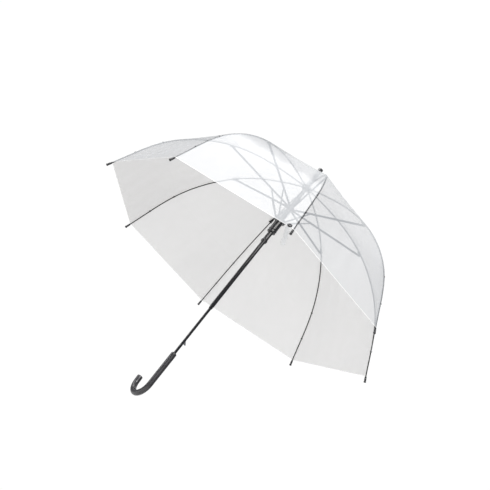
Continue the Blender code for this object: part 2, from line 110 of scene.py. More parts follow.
def make_light(name, azimuth, rise, distance, width, height, power, target):
    """A softbox that faces the target from that direction."""
    lamp = bpy.data.lights.new(name, "AREA")
    lamp.shape = "RECTANGLE"
    lamp.size, lamp.size_y, lamp.energy = width, height, power
    obj = bpy.data.objects.new(name, lamp)
    bpy.context.scene.collection.objects.link(obj)
    away = direction(azimuth, rise)
    obj.location = target + distance * away
    obj.rotation_mode = "QUATERNION"
    obj.rotation_quaternion = (-away).to_track_quat("-Z", "Y")


def make_world():
    """A white backdrop for the camera, a softer room to light the surfaces, and a darker one for them to mirror."""
    world = bpy.data.worlds.new("studio")
    bpy.context.scene.world = world
    world.use_nodes = True
    tree = world.node_tree
    tree.nodes.clear()
    path = tree.nodes.new("ShaderNodeLightPath")

    def background(colour, strength):
        made = tree.nodes.new("ShaderNodeBackground")
        made.inputs["Color"].default_value = (*colour, 1)
        made.inputs["Strength"].default_value = strength
        return made.outputs[0]

    def chosen(ray, otherwise, seen):
        mix = tree.nodes.new("ShaderNodeMixShader")
        tree.links.new(path.outputs[ray], mix.inputs["Fac"])
        tree.links.new(otherwise, mix.inputs[1])
        tree.links.new(seen, mix.inputs[2])
        return mix.outputs[0]

    surroundings = chosen("Is Glossy Ray", background(*ROOM), background(*MIRRORED_ROOM))
    out = tree.nodes.new("ShaderNodeOutputWorld")
    tree.links.new(chosen("Is Camera Ray", surroundings, background(*BACKDROP)), out.inputs["Surface"])


def make_floor():
    mesh = bpy.data.meshes.new("floor")
    near, far = -FLOOR_REACH, FLOOR_REACH
    corners = [(near, near, FLOOR_Z), (far, near, FLOOR_Z), (far, far, FLOOR_Z), (near, far, FLOOR_Z)]
    mesh.from_pydata(corners, [], [(0, 1, 2, 3)])
    floor = bpy.data.objects.new("floor", mesh)
    bpy.context.scene.collection.objects.link(floor)
    paint = Paint("floor_paper", FLOOR_COLOUR, 0.9)
    paint.mottle(40, 0.03)
    mesh.materials.append(paint.material)


def make_stage():
    bpy.context.scene.view_settings.view_transform = "Standard"
    make_world()
    make_floor()
    for softbox in SOFTBOXES:
        make_light(*softbox)


# Materials


class Paint:
    """A Principled material, with the node helpers that the others are built from."""

    def __init__(self, name, colour, roughness, metallic=0.0):
        self.material = bpy.data.materials.new(name)
        self.material.use_nodes = True
        self.tree = self.material.node_tree
        self.shader = self.tree.nodes["Principled BSDF"]
        self.colour = colour
        self.shader.inputs["Base Color"].default_value = (*colour, 1)
        self.shader.inputs["Roughness"].default_value = roughness
        self.shader.inputs["Metallic"].default_value = metallic
        self.out = self.tree.nodes["Material Output"]
        self.place = self.node("ShaderNodeTexCoord").outputs["Object"]

    def node(self, kind, **values):
        made = self.tree.nodes.new(kind)
        for key, value in values.items():
            setattr(made, key, value)
        return made

    def link(self, source, target):
        self.tree.links.new(source, target)

    def noise(self, scale, detail=3.0, stretch=None, coordinates=None):
        found = self.node("ShaderNodeTexNoise")
        found.inputs["Scale"].default_value = scale
        found.inputs["Detail"].default_value = detail
        source = coordinates or self.place
        if stretch:
            mapping = self.node("ShaderNodeMapping")
            mapping.inputs["Scale"].default_value = stretch
            self.link(source, mapping.inputs["Vector"])
            source = mapping.outputs[0]
        self.link(source, found.inputs["Vector"])
        return found.outputs["Fac"]

    def ranged(self, source, low, high, from_low=0.3, from_high=0.7):
        ramp = self.node("ShaderNodeMapRange")
        ramp.inputs["From Min"].default_value = from_low
        ramp.inputs["From Max"].default_value = from_high
        ramp.inputs["To Min"].default_value = low
        ramp.inputs["To Max"].default_value = high
        self.link(source, ramp.inputs["Value"])
        return ramp.outputs[0]

    def blended(self, share, first, last):
        mix = self.node("ShaderNodeMix", data_type="RGBA")
        self.link(share, mix.inputs["Factor"])
        mix.inputs["A"].default_value = (*first, 1)
        mix.inputs["B"].default_value = (*last, 1)
        return mix.outputs["Result"]

    def mottle(self, scale, change):
        """The colour varies a little over the surface."""
        darker = tuple(c * (1 - change) for c in self.colour)
        lighter = tuple(min(1, c * (1 + change)) for c in self.colour)
        share = self.ranged(self.noise(scale), 0, 1)
        self.link(self.blended(share, darker, lighter), self.shader.inputs["Base Color"])

    def scuff(self, scale, low, high, stretch=None):
        """The roughness varies, as on handled plastic."""
        share = self.noise(scale, 5.0, stretch)
        self.link(self.ranged(share, low, high), self.shader.inputs["Roughness"])

    def grain(self, scale, strength, distance, stretch=None, coordinates=None):
        bump = self.node("ShaderNodeBump")
        bump.inputs["Strength"].default_value = strength
        bump.inputs["Distance"].default_value = distance
        self.link(self.noise(scale, 4.0, stretch, coordinates), bump.inputs["Height"])
        self.link(bump.outputs[0], self.shader.inputs["Normal"])
        return bump.outputs[0]

    def coat(self, weight, roughness):
        self.shader.inputs["Coat Weight"].default_value = weight
        self.shader.inputs["Coat Roughness"].default_value = roughness
        return self


def moulded_black():
    """Fittings: injection-moulded plastic, nearly smooth."""
    paint = Paint("moulded_black", (0.007, 0.007, 0.009), 0.30).coat(0.9, 0.12)
    paint.shader.inputs["Specular IOR Level"].default_value = 0.15
    paint.mottle(90, 0.25)
    paint.scuff(260, 0.28, 0.44)
    paint.grain(60, 0.03, 0.0005)
    return paint.material


def polished_black():
    """Ferrule: the same plastic, polished."""
    paint = Paint("polished_black", (0.010, 0.010, 0.012), 0.22).coat(1.0, 0.10)
    paint.mottle(90, 0.25)
    paint.scuff(200, 0.18, 0.30)
    paint.grain(50, 0.02, 0.0004)
    return paint.material


def lacquered_tube():
    """Shaft: black lacquer over steel, drawn lengthwise."""
    paint = Paint("lacquered_tube", (0.005, 0.005, 0.007), 0.30).coat(0.8, 0.11)
    paint.shader.inputs["Specular IOR Level"].default_value = 0.10
    paint.mottle(60, 0.2)
    paint.scuff(120, 0.24, 0.38, stretch=(1, 1, 0.06))
    paint.grain(40, 0.02, 0.0005, stretch=(1, 1, 0.04))
    return paint.material


def rib_lacquer():
    """Ribs and stretchers: thin black lacquer on wire."""
    paint = Paint("rib_lacquer", (0.006, 0.006, 0.007), 0.38)
    paint.shader.inputs["Specular IOR Level"].default_value = 0.15
    paint.mottle(140, 0.25)
    paint.scuff(400, 0.32, 0.50)
    paint.grain(60, 0.03, 0.0003)
    return paint.material


def grip_black():
    """Crook: glossy charcoal plastic, worn to satin where it is held."""
    paint = Paint("grip_black", (0.016, 0.015, 0.018), 0.30).coat(0.35, 0.20)
    paint.mottle(35, 0.15)
    paint.scuff(30, 0.24, 0.36)
    paint.grain(25, 0.02, 0.001)
    return paint.material


def end_face():
    """The crook's end plug, a paler satin plastic."""
    paint = Paint("end_face", (0.42, 0.42, 0.44), 0.38)
    paint.mottle(120, 0.1)
    paint.scuff(200, 0.3, 0.5)
    return paint.material


def spring_steel():
    paint = Paint("spring_steel", (0.36, 0.36, 0.38), 0.30, metallic=1.0)
    paint.mottle(200, 0.2)
    paint.scuff(500, 0.22, 0.42, stretch=(1, 1, 0.2))
    return paint.material


CANOPY_FILMS = (  # by slot: the panel, its hem and the weld along each rib
    ("clear_film", {"body": 0.50, "tint": (0.932, 0.908, 0.885), "haze": (0.515, 0.53, 0.55), "sheen": 0.030,
                    "crease": 0.14}),
    ("hem_film", {"body": 0.50, "tint": (0.97, 0.97, 0.97), "haze": (0.86, 0.86, 0.86), "sheen": 0.06,
                  "crease": 0.10}),
    ("weld_film", {"body": 0.10, "tint": (0.86, 0.855, 0.85), "haze": (0.50, 0.52, 0.55), "sheen": 0.02,
                   "crease": 0.10, "edge_body": 0.30}),
)
STRAP_FILMS = (
    ("strap_film", {"body": 0.16, "tint": (0.95, 0.955, 0.96), "haze": (0.46, 0.47, 0.48), "sheen": 0.03,
                    "crease": 0.12}),
    ("strap_edge_film", {"body": 0.26, "tint": (0.95, 0.95, 0.95), "haze": (0.56, 0.57, 0.58), "sheen": 0.04,
                         "crease": 0.12}),
)
DEEP_SHARE = 0.62  # of the light, what still passes at a glancing angle
MIRROR_MOST = 0.46
MILK_VARIES = 0.06
FILM_GLOSS = 0.19  # roughness of its mirror


def film(name, body, tint, haze, sheen, crease, edge_body=-0.08):
    """Clear soft film. body is how much of it is milky, tint what passes through, haze the colour of its milk, and
    edge_body how much milkier it is at a glancing angle. There it also lets less through and mirrors more. Its
    creases run down the panel."""
    paint = Paint(name, haze, 0.6)
    uv = paint.node("ShaderNodeUVMap", uv_map="film").outputs[0]
    normal = paint.grain(30, crease, 0.004, stretch=(1, 0.14, 1), coordinates=uv)
    facing = paint.node("ShaderNodeLayerWeight")
    facing.inputs["Blend"].default_value = 0.5
    paint.link(normal, facing.inputs["Normal"])

    def glance(power):
        made = paint.node("ShaderNodeMath", operation="POWER")
        made.inputs[1].default_value = power
        paint.link(facing.outputs["Facing"], made.inputs[0])
        return made.outputs[0]

    clear = paint.node("ShaderNodeBsdfTransparent")
    deep = tuple(c * DEEP_SHARE for c in tint)
    paint.link(paint.blended(glance(4.5), tint, deep), clear.inputs["Color"])
    milk = paint.node("ShaderNodeBsdfDiffuse")
    paint.link(normal, milk.inputs["Normal"])
    milk.inputs["Color"].default_value = (*haze, 1)
    milky = paint.ranged(paint.noise(7, 3.0, (1, 0.5, 1), uv), body * (1 - MILK_VARIES), body * (1 + MILK_VARIES))
    more = paint.node("ShaderNodeMath", operation="MULTIPLY_ADD")
    more.inputs[1].default_value = edge_body
    paint.link(glance(2.5), more.inputs[0])
    paint.link(milky, more.inputs[2])
    base = paint.node("ShaderNodeMixShader")
    paint.link(more.outputs[0], base.inputs["Fac"])
    paint.link(clear.outputs[0], base.inputs[1])
    paint.link(milk.outputs[0], base.inputs[2])

    gloss = paint.node("ShaderNodeBsdfGlossy")
    gloss.inputs["Color"].default_value = (1, 1, 1, 1)
    gloss.inputs["Roughness"].default_value = FILM_GLOSS
    paint.link(normal, gloss.inputs["Normal"])
    mirror = paint.ranged(glance(4.5), sheen, MIRROR_MOST, 0.0, 1.0)
    skin = paint.node("ShaderNodeMixShader")
    paint.link(mirror, skin.inputs["Fac"])
    paint.link(base.outputs[0], skin.inputs[1])
    paint.link(gloss.outputs[0], skin.inputs[2])
    paint.link(skin.outputs[0], paint.out.inputs["Surface"])
    paint.tree.nodes.remove(paint.shader)
    return paint.material


# Shapes


class Form:
    """Points and faces gathered from simple shapes, made into one mesh piece at the end."""

    def __init__(self):
        self.points, self.faces, self.slots, self.uvs = [], [], [], []

    def add(self, points, faces, slots=None, uvs=None):
        base = len(self.points)
        self.points += [tuple(p) for p in points]
        self.faces += [tuple(base + i for i in face) for face in faces]
        self.slots += slots or [0] * len(faces)
        self.uvs += uvs or [(0.0, 0.0)] * len(points)
        return self

    def rings(self, rings, closed=True, joined=False):
        """A skin over rings of equal length, each a list of points round the same way. closed caps the first and
        last, and joined bridges them."""
        sides = len(rings[0])
        points = [p for ring in rings for p in ring]
        faces = []
        for i in range(len(rings) if joined else len(rings) - 1):
            a, b = i * sides, (i + 1) % len(rings) * sides
            for k in range(sides):
                n = (k + 1) % sides
                faces.append((a + k, a + n, b + n, b + k))
        if closed and not joined:
            faces.append(tuple(range(sides))[::-1])
            faces.append(tuple((len(rings) - 1) * sides + k for k in range(sides)))
        return self.add(points, faces)

    def lathe(self, profile, place=Matrix.Identity(4), sides=48):
        """(radius, height) points, from the bottom up the outer side, turned about the place's Z. It closes if its
        last point is its first."""
        joined = profile[0] == profile[-1]
        rings = []
        for radius, height in profile[:-1] if joined else profile:
            turns = [2 * math.pi * k / sides for k in range(sides)]
            rings.append([place @ Vector((radius * math.cos(t), radius * math.sin(t), height)) for t in turns])
        return self.rings(rings, joined=joined)

    def tube(self, line, radius, sides=12, outline=None, first_side=None):
        """A rod along line. radius is a number, or one for each point. outline is a list of (side, up) points."""
        line = [Vector(p) for p in line]
        sizes = radius if isinstance(radius, (list, tuple)) else [radius] * len(line)
        turns = [2 * math.pi * k / sides for k in range(sides)]
        outline = outline or [(math.cos(t), math.sin(t)) for t in turns]
        side = first_side
        rings = []
        for i, point in enumerate(line):
            ahead = (line[min(i + 1, len(line) - 1)] - line[max(i - 1, 0)]).normalized()
            if side is None:
                side = ahead.orthogonal()
            side = (side - side.dot(ahead) * ahead).normalized()
            up = ahead.cross(side)
            rings.append([point + sizes[i] * (x * side + y * up) for x, y in outline])
        return self.rings(rings)

    def block(self, size, place, bevel):
        """A box with rounded upright edges and a chamfer round its top and bottom."""
        x, y, z = (value / 2 for value in size)
        ring, corner_steps = [], 4
        for cx, cy, start in ((x, y, 0), (-x, y, 1), (-x, -y, 2), (x, -y, 3)):
            for k in range(corner_steps + 1):
                turn = (start + k / corner_steps) * math.pi / 2
                inner = Vector((math.copysign(abs(cx) - bevel, cx), math.copysign(abs(cy) - bevel, cy)))
                ring.append((inner.x + bevel * math.cos(turn), inner.y + bevel * math.sin(turn)))
        chamfer = bevel * 0.6
        rings = []
        for height, shrink in ((-z, chamfer), (-z + chamfer, 0), (z - chamfer, 0), (z, chamfer)):
            share_x, share_y = 1 - shrink / x, 1 - shrink / y
            rings.append([place @ Vector((px * share_x, py * share_y, height)) for px, py in ring])
        return self.rings(rings)

    def piece(self, name, materials, body, slot, replaces=(), smooth_angle=35):
        mesh = bpy.data.meshes.new(name)
        mesh.from_pydata(self.points, [], self.faces)
        for material in materials:
            mesh.materials.append(material)
        mesh.polygons.foreach_set("material_index", self.slots)
        layer = mesh.uv_layers.new(name="film")
        loops = np.zeros(len(mesh.loops), dtype=np.int32)
        mesh.loops.foreach_get("vertex_index", loops)
        layer.data.foreach_set("uv", np.array(self.uvs, dtype=np.float32)[loops].ravel())
        mesh.polygons.foreach_set("use_smooth", [True] * len(mesh.polygons))
        mesh.set_sharp_from_angle(angle=math.radians(smooth_angle))
        mesh.update()
        obj = bpy.data.objects.new(name, mesh)
        bpy.context.scene.collection.objects.link(obj)
        if body:
            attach(obj, body)
        if replaces:
            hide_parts(*replaces)
        return obj


def standing(point, ahead, side):
    """A place at that point with +Z ahead and +X to the side."""
    z = Vector(ahead).normalized()
    x = (Vector(side) - Vector(side).dot(z) * z).normalized()
    y = z.cross(x)
    turn = Matrix((x, y, z)).transposed().to_4x4()
    return Matrix.Translation(point) @ turn


# Rib line, from the frame's joints

HINGES = {joint["name"]: Vector(joint["pos_m"]) for joint in frame["joints"] if "pos_m" in joint}


def flat_place(name):
    """A joint's (radius, height)."""
    place = HINGES[name]
    return (math.hypot(place.x, place.y), place.z)


RIB_PIVOT, KNEE, ELBOW = (flat_place(f"rib_{name}_1_hinge") for name in ("root", "knee", "elbow"))
RIM_CORNER = (0.4490, 0.343)
SLOPES = [math.radians(value) for value in (4, 27, 56, 65)]
STATIONS = [Vector(p) for p in (RIB_PIVOT, KNEE, ELBOW, RIM_CORNER)]
RIB_RADIUS = 0.0015
TIP_LENGTH = 0.017
FILM_LIFT = 0.0023
CROWN_RADIUS = 0.0128  # the film inside this is held still under the ferrule
NOTCH_TOP = 0.6612


def azimuth_of(number):
    return HALF + (number - 1) * 2 * HALF


def outward(azimuth):
    return Vector((math.cos(azimuth), math.sin(azimuth), 0))


def sideways(azimuth):
    return Vector((-math.sin(azimuth), math.cos(azimuth), 0))


def rib_flat(share):
    """(radius, height) on the rib's centre line. share runs from 0 at the notch to 3 at the rim."""
    k = min(int(share), 2)
    t = float(share) - k
    first, last = STATIONS[k], STATIONS[k + 1]
    reach = (last - first).length
    leave = reach * Vector((math.cos(SLOPES[k]), -math.sin(SLOPES[k])))
    arrive = reach * Vector((math.cos(SLOPES[k + 1]), -math.sin(SLOPES[k + 1])))
    a, b, c, d = 2 * t**3 - 3 * t**2 + 1, t**3 - 2 * t**2 + t, 3 * t**2 - 2 * t**3, t**3 - t**2
    return a * first + b * leave + c * last + d * arrive


def rib_slope(share):
    """The rib's direction and its outer normal there, both as (radius, height)."""
    step = 0.01
    along = (rib_flat(min(3, share + step)) - rib_flat(max(0, share - step))).normalized()
    return along, Vector((-along.y, along.x))


def on_rib(share, number, lift=0.0):
    point = rib_flat(share) + lift * rib_slope(share)[1]
    return point.x * outward(azimuth_of(number)) + point.y * UP


def rib_frame(share, number):
    """A place on the rib: +Z along it, +X to the side, +Y into the dome or out of it."""
    along, _ = rib_slope(share)
    azimuth = azimuth_of(number)
    ahead = along.x * outward(azimuth) + along.y * UP
    return standing(on_rib(share, number), ahead, sideways(azimuth))


# Ribs and their fittings

KNEE_SINK = 0.0013  # the knee's sleeve lies this far under the rib's centre, clear of the film
KNEE_BACK = 0.0055  # and this far up the rib from its knee
JOIN_SHARE = 1.5  # where the rib's two pieces meet
ROD_POINTS = 46
TIE_SHARES = (2.04, 2.56)  # where the film is tied to the rib

# Outlines of turned fittings, as (radius, height) in metres.
KNEE_SLEEVE = [
    (0.0, -0.0092), (0.0017, -0.0090), (0.0024, -0.0080), (0.0028, -0.0062), (0.0029, -0.002), (0.0029, 0.002),
    (0.0024, 0.0034), (0.0016, 0.0040), (0.0, 0.0041),
]
KNEE_PIN = [
    (0.0, -0.0030), (0.0011, -0.0030), (0.0017, -0.0025), (0.0017, -0.0019), (0.0009, -0.0018),
    (0.0009, 0.0058), (0.0018, 0.0059), (0.0018, 0.0065), (0.0011, 0.0070), (0.0, 0.0070),
]
TIE_RING = [
    (0.00155, -0.0016), (0.0022, -0.0016), (0.0024, -0.0010), (0.0024, 0.0010), (0.0022, 0.0016),
    (0.00155, 0.0016), (0.00155, -0.0016),
]
TIE_BUTTON = [
    (0.0, 0.0), (0.0010, 0.0), (0.0010, 0.0012), (0.0017, 0.0013), (0.0018, 0.0015),
    (0.0014, 0.0018), (0.0, 0.0019),
]
TIP_CAP = [
    (0.0, 0.0006), (0.0022, 0.0006), (0.0028, 0.0012), (0.0030, 0.0030), (0.0026, 0.0037), (0.0026, 0.0047),
    (0.0030, 0.0054), (0.0030, 0.0108), (0.0025, 0.0116), (0.0025, 0.0122), (0.0032, 0.0130),
    (0.0036, 0.0145), (0.0035, 0.0158), (0.0027, 0.0169), (0.0013, 0.0174), (0.0, 0.0175),
]
KNEE_LUG = (0.0034, 0.0052, 0.0072)
KNEE_LUG_EDGE = 0.0008
KNEE_EYE_DROP = 0.0022  # from the rib's centre in to the stretcher's pin


def make_rib_rods(number, rods):
    """Two rods, each running across one of the rib's two hinges."""
    upper = [on_rib(s, number) for s in np.linspace(0, JOIN_SHARE, ROD_POINTS)]
    lower = [on_rib(s, number) for s in np.linspace(JOIN_SHARE, 3, ROD_POINTS)]
    lower.append(lower[-1] + 0.35 * TIP_LENGTH * (lower[-1] - lower[-2]).normalized())
    for name, line, pair, hinge, share, nodes in (
        ("rib_upper", upper, ("rib_root", "rib_mid"), "knee", 1.0, ("rib_root", "rib_mid")),
        ("rib_lower", lower, ("rib_mid", "rib_tip"), "elbow", 2.0, ("rib_tip",)),
    ):
        rib = Form().tube(line, RIB_RADIUS, sides=10, first_side=sideways(azimuth_of(number)))
        made = rib.piece(f"{name}_{number}", [rods], None, "rib_rod", [f"{n}_{number}" for n in nodes])
        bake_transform(made)


def make_knee(number, plastic):
    """The sleeve crimped on the rib above its knee, the lug under it and the stretcher's pin through the lug."""
    turn = rib_frame(1.0, number).to_3x3()
    inward = -(turn @ Vector((0, 1, 0)))
    if inward.z > 0:
        inward = -inward
    ahead = turn @ UP
    across = sideways(azimuth_of(number))
    knee = Form()
    knee.lathe(
        KNEE_SLEEVE, Matrix.Translation(KNEE_SINK * inward - KNEE_BACK * ahead) @ rib_frame(1.0, number), sides=20
    )
    eye = on_rib(1.0, number, lift=-KNEE_EYE_DROP) - 0.001 * ahead
    knee.block(KNEE_LUG, standing(eye + 0.0005 * inward, ahead, across), KNEE_LUG_EDGE)
    knee.lathe(KNEE_PIN, standing(eye + 0.0004 * inward, across, ahead), sides=16)
    knee.piece(f"knee_fitting_{number}", [plastic], f"rib_root_{number}", "fitting_black")


def make_film_ties(number, plastic):
    """A ring round the rib and a button through the film, twice."""
    across = sideways(azimuth_of(number))
    ties = Form()
    for share in TIE_SHARES:
        place = rib_frame(share, number)
        ties.lathe(TIE_RING, place, sides=16)
        normal = place.to_3x3() @ Vector((0, 1, 0))
        out = on_rib(share, number, 1.0) - on_rib(share, number)
        normal = normal if normal.dot(out) > 0 else -normal
        ties.lathe(TIE_BUTTON, standing(on_rib(share, number, 0.0012), normal, across), sides=16)
    ties.piece(f"film_ties_{number}", [plastic], f"rib_tip_{number}", "fitting_black")


def make_tip_cap(number, plastic):
    azimuth = azimuth_of(number)
    along, _ = rib_slope(3.0)
    ahead = along.x * outward(azimuth) + along.y * UP
    place = standing(on_rib(3.0, number), ahead, sideways(azimuth))
    cap = Form().lathe(TIP_CAP, place, sides=24)
    cap.piece(f"tip_cap_{number}", [plastic], f"rib_tip_{number}", "fitting_black")


def make_rib(number, rods, plastic):
    make_rib_rods(number, rods)
    make_knee(number, plastic)
    make_film_ties(number, plastic)
    make_tip_cap(number, plastic)


# Stretchers and braces

CHANNEL = [
    (-1.0, -1.0), (-1.0, 1.05), (-0.68, 1.05), (-0.62, -0.35), (0.62, -0.35), (0.68, 1.05), (1.0, 1.05), (1.0, -1.0),
]
STRETCHER_SIDE = 0.00365
STRETCHER_HALF = 0.0019
BRACE_HALF = 0.0014
STRETCHER_DROP = 0.0020  # from the rib's centre in to the stretcher's outer pin
BRACE_HOLD = 0.28  # where the brace holds the stretcher, as a share of it from the runner
ARM_TRIM, ARM_TAPER = 0.0016, 0.003


def eye_at(form, point, across, ahead, radius, half_width):
    """A flattened eye with rounded rims, round a pin that runs across."""
    rim = half_width * 0.3
    form.lathe(
        [(0.0, -half_width), (radius - rim, -half_width), (radius, -half_width + rim),
         (radius, half_width - rim), (radius - rim, half_width), (0.0, half_width)],
        standing(point, across, ahead), sides=20,
    )


def make_arm(label, number, inner, outer, half, side, rods):
    """A pressed channel between two pins, with an eye round each. inner and outer are (radius, height)."""
    azimuth = azimuth_of(number)
    across = sideways(azimuth)
    start = inner[0] * outward(azimuth) + inner[1] * UP + side * across
    end = outer[0] * outward(azimuth) + outer[1] * UP + side * across
    way = (end - start).normalized()
    form = Form()
    up = across.cross(way)
    outline = [(x, -y) for x, y in reversed(CHANNEL)] if up.z < 0 else CHANNEL
    taper = ARM_TRIM + ARM_TAPER
    line = [start + ARM_TRIM * way, start + taper * way, end - taper * way, end - ARM_TRIM * way]
    form.tube(line, [half * 0.75, half, half, half * 0.75], outline=outline, first_side=across)
    eye_at(form, start, across, way, half * 0.95, half * 0.92)
    eye_at(form, end, across, way, half * 0.95, half * 0.92)
    node = f"{label}_{number}"
    form.piece(f"{label}_channel_{number}", [rods], node, "stretcher_rod", [node], smooth_angle=25)


def make_arms(rods):
    hub, drive = flat_place("stretcher_1_hinge"), flat_place("brace_1_hinge")
    slope = SLOPES[1]
    outer = (KNEE[0] - STRETCHER_DROP * math.sin(slope), KNEE[1] - STRETCHER_DROP * math.cos(slope))
    hold = tuple(a + BRACE_HOLD * (b - a) for a, b in zip(hub, outer))
    for number in RIBS:
        make_arm("stretcher", number, hub, outer, STRETCHER_HALF, STRETCHER_SIDE, rods)
        make_arm("brace", number, drive, hold, BRACE_HALF, 0.0, rods)


# Film

SEGMENTS = (  # the rod, steps along it, and the share of width left when the umbrella is shut
    ("root", 20, 0.087),
    ("mid", 16, 0.072),
    ("tip", 16, 0.064),
)
RIM_SEGMENT = len(SEGMENTS) - 1
HALF_STEPS = 22  # from the rib to the panel's middle
HEM, WELD = 0.0018, 0.0026  # widths of the strips along the rim and along each rib
TIP_ROD_LENGTH = 0.160
FAN_HEIGHT, FAN_AT, FAN_REACH = 0.0018, 0.05, 0.075  # creases that fan out from the crown
SLACK_HEIGHT = 0.00055
SAG, FILM_LENGTH = 0.0022, 0.60
RIM_TIGHT_FROM = 0.52  # past this distance the film is drawn flat by its hem
UNDER_FERRULE = NOTCH_TOP + 0.0004
LEVEL_RADIUS = 0.045  # inside this the film levels off towards the crown
CLEAR_SLOT, HEM_SLOT, WELD_SLOT = range(3)


def film_flat(share):
    """(radius, height) of the film over a rib, level where it goes in under the ferrule."""
    point = rib_flat(share) + FILM_LIFT * rib_slope(share)[1]
    held = min(1.0, max(0.0, (LEVEL_RADIUS - point.x) / (LEVEL_RADIUS - CROWN_RADIUS)))
    return Vector((max(point.x, CROWN_RADIUS), point.y + (UNDER_FERRULE - point.y) * held**2))


def crease_height(distance, across, panel):
    """How far the film stands off its flat panel: fan creases by the crown, and shallow lengthwise waves."""
    phase = 2.4 * panel
    edge = max(0.0, 1 - across * across)
    crown = math.exp(-((distance - FAN_AT) / FAN_REACH) ** 2)
    fan = FAN_HEIGHT * crown * math.sin(11 * across + 1.3 * math.sin(26 * distance + phase) + phase)
    wave = math.sin(17 * across + 2.2 * math.sin(7 * distance + phase)) * math.sin(9 * distance + phase)
    sag = -SAG * math.sin(math.pi * min(1.0, distance / FILM_LENGTH))
    tight = max(0.0, distance - RIM_TIGHT_FROM) / (FILM_LENGTH - RIM_TIGHT_FROM)
    loose = max(0.0, 1 - tight**2)
    return edge * ((fan + SLACK_HEIGHT * wave) * loose + sag)


def film_table():
    """Shares along the rib for the film's rows in each segment, with the distance down the film at each."""
    rows, distance, last = [], 0.0, None
    for index, (_, steps, _) in enumerate(SEGMENTS):
        shares = [index + i / steps for i in range(steps + 1)]
        if index == RIM_SEGMENT:
            hem_share = HEM / TIP_ROD_LENGTH
            shares = [share for share in shares if share < 3 - hem_share - 0.01] + [3 - hem_share, 3.0]
        segment = []
        for share in shares:
            point = film_flat(share)
            if last is not None:
                distance += (point - last).length
            last = point
            segment.append((share, distance))
        rows.append(segment)
    return rows


def film_point(share, distance, across, panel):
    """A point of the panel. across runs from -1 on its first rib to 1 on its second."""
    flat = film_flat(share)
    step = 0.01
    ahead = film_flat(min(3.0, share + step)) - film_flat(max(0.0, share - step))
    ahead = Vector((ahead.x * math.cos(HALF), ahead.y)).normalized()
    middle = azimuth_of(panel) + HALF
    normal = -ahead.y * outward(middle) + ahead.x * UP
    base = flat.x * (math.cos(HALF) * outward(middle) + across * math.sin(HALF) * sideways(middle)) + flat.y * UP
    return base + crease_height(distance, across, panel) * normal


def film_grid(panel, side, index, rows, widths):
    """The points, faces, material slots and flat coordinates of half a panel. Column 0 lies on the rib."""
    points, uvs, faces, slots = [], [], [], []
    for (share, distance), width in zip(rows, widths):
        for k in range(HALF_STEPS + 1):
            across = side * (1 - k / HALF_STEPS)
            if k == 1:
                across = side * (1 - min(0.5 / HALF_STEPS, WELD / max(width, 0.01)))
            points.append(film_point(share, distance, across, panel))
            uvs.append((panel * 0.7 + across * width, distance))
    columns = HALF_STEPS + 1
    hem_row = len(rows) - 2 if index == RIM_SEGMENT else None
    for i in range(len(rows) - 1):
        for k in range(HALF_STEPS):
            a = i * columns + k
            corners = (a, a + 1, a + columns + 1, a + columns)
            faces.append(corners[::-1] if side < 0 else corners)
            slots.append(HEM_SLOT if i == hem_row else WELD_SLOT if k == 0 else CLEAR_SLOT)
    return points, faces, slots, uvs


def make_film_part(panel, side, index, rows, materials):
    """The half of a panel beside one rib, along one of that rib's three rods. side is -1 by the panel's first rib."""
    body, _, keep = SEGMENTS[index]
    number = panel if side < 0 else panel % len(RIBS) + 1
    widths = [film_flat(share).x * math.sin(HALF) for share, _ in rows]
    form = Form().add(*film_grid(panel, side, index, rows, widths))
    name = f"film_{panel}{'l' if side < 0 else 'r'}_{body}"
    replaces = [f"canopy_gore_{panel}"]
    made = form.piece(name, materials, f"rib_{body}_{number}", "canopy_film", replaces, smooth_angle=180)
    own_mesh(made)


def make_crown(materials):
    """The film's middle, clamped under the ferrule, with eight flat sides where the panels start."""
    form = Form()
    rings = []
    for radius in (0.0074, 0.0100, CROWN_RADIUS):
        ring = []
        for k in range(64):
            turn = 2 * math.pi * k / 64
            to_side = math.cos(HALF) / math.cos((turn - HALF) % (2 * HALF) - HALF)
            reach = radius * to_side if radius == CROWN_RADIUS else radius
            ring.append(reach * outward(turn) + UNDER_FERRULE * UP)
        rings.append(ring)
    form.rings(rings, closed=False)
    form.piece("film_crown", materials, "root", "canopy_film", smooth_angle=180)


# Turned pieces of the shaft


def rounded(radius, low, high, edge):
    """A plain cylinder's outline with rounded edges, from the bottom up."""
    steps = [math.pi / 8 * k for k in range(5)]
    bottom = [(radius - edge + edge * math.sin(a), low + edge - edge * math.cos(a)) for a in steps]
    top = [(radius - edge + edge * math.cos(a), high - edge + edge * math.sin(a)) for a in steps]
    return bottom + top


def raised(profile, height):
    return [(radius, height + step) for radius, step in profile]


ROUND = 64  # sides of the shaft's turned pieces
FERRULE_FOOT = [  # up from its base
    (0.0, 0.0010), (0.0063, 0.0), (0.0105, 0.0), (0.0110, 0.0004), (0.0110, 0.0013), (0.0102, 0.0020),
    (0.0082, 0.0024), (0.0072, 0.0034), (0.0070, 0.0046),
]
FERRULE_GROOVE = [(0.0070, -0.0165), (0.0066, -0.0160), (0.0066, -0.0150), (0.0070, -0.0145)]  # from its top
FERRULE_END = [(0.0042, 0.0), (0.0040, -0.0004), (0.0, -0.0004)]
TUBE_WALL = 0.0016
TUBE_MOUTH = 0.0120  # length of the cone at its lower end
SLEEVE_RING = [
    (0.0115, 0.0), (0.0123, 0.0004), (0.0125, 0.0010), (0.0125, 0.0022), (0.0122, 0.0028), (0.0115, 0.0032),
    (0.0115, 0.0),
]
COLLAR_RING = [
    (0.0070, 0.0105), (0.0076, 0.0107), (0.0086, 0.0085), (0.0089, 0.0072), (0.0089, 0.0030), (0.0087, 0.0022),
    (0.00825, 0.0018), (0.00825, 0.0090), (0.0070, 0.0105),
]
PIVOT_WIRE = 0.0004


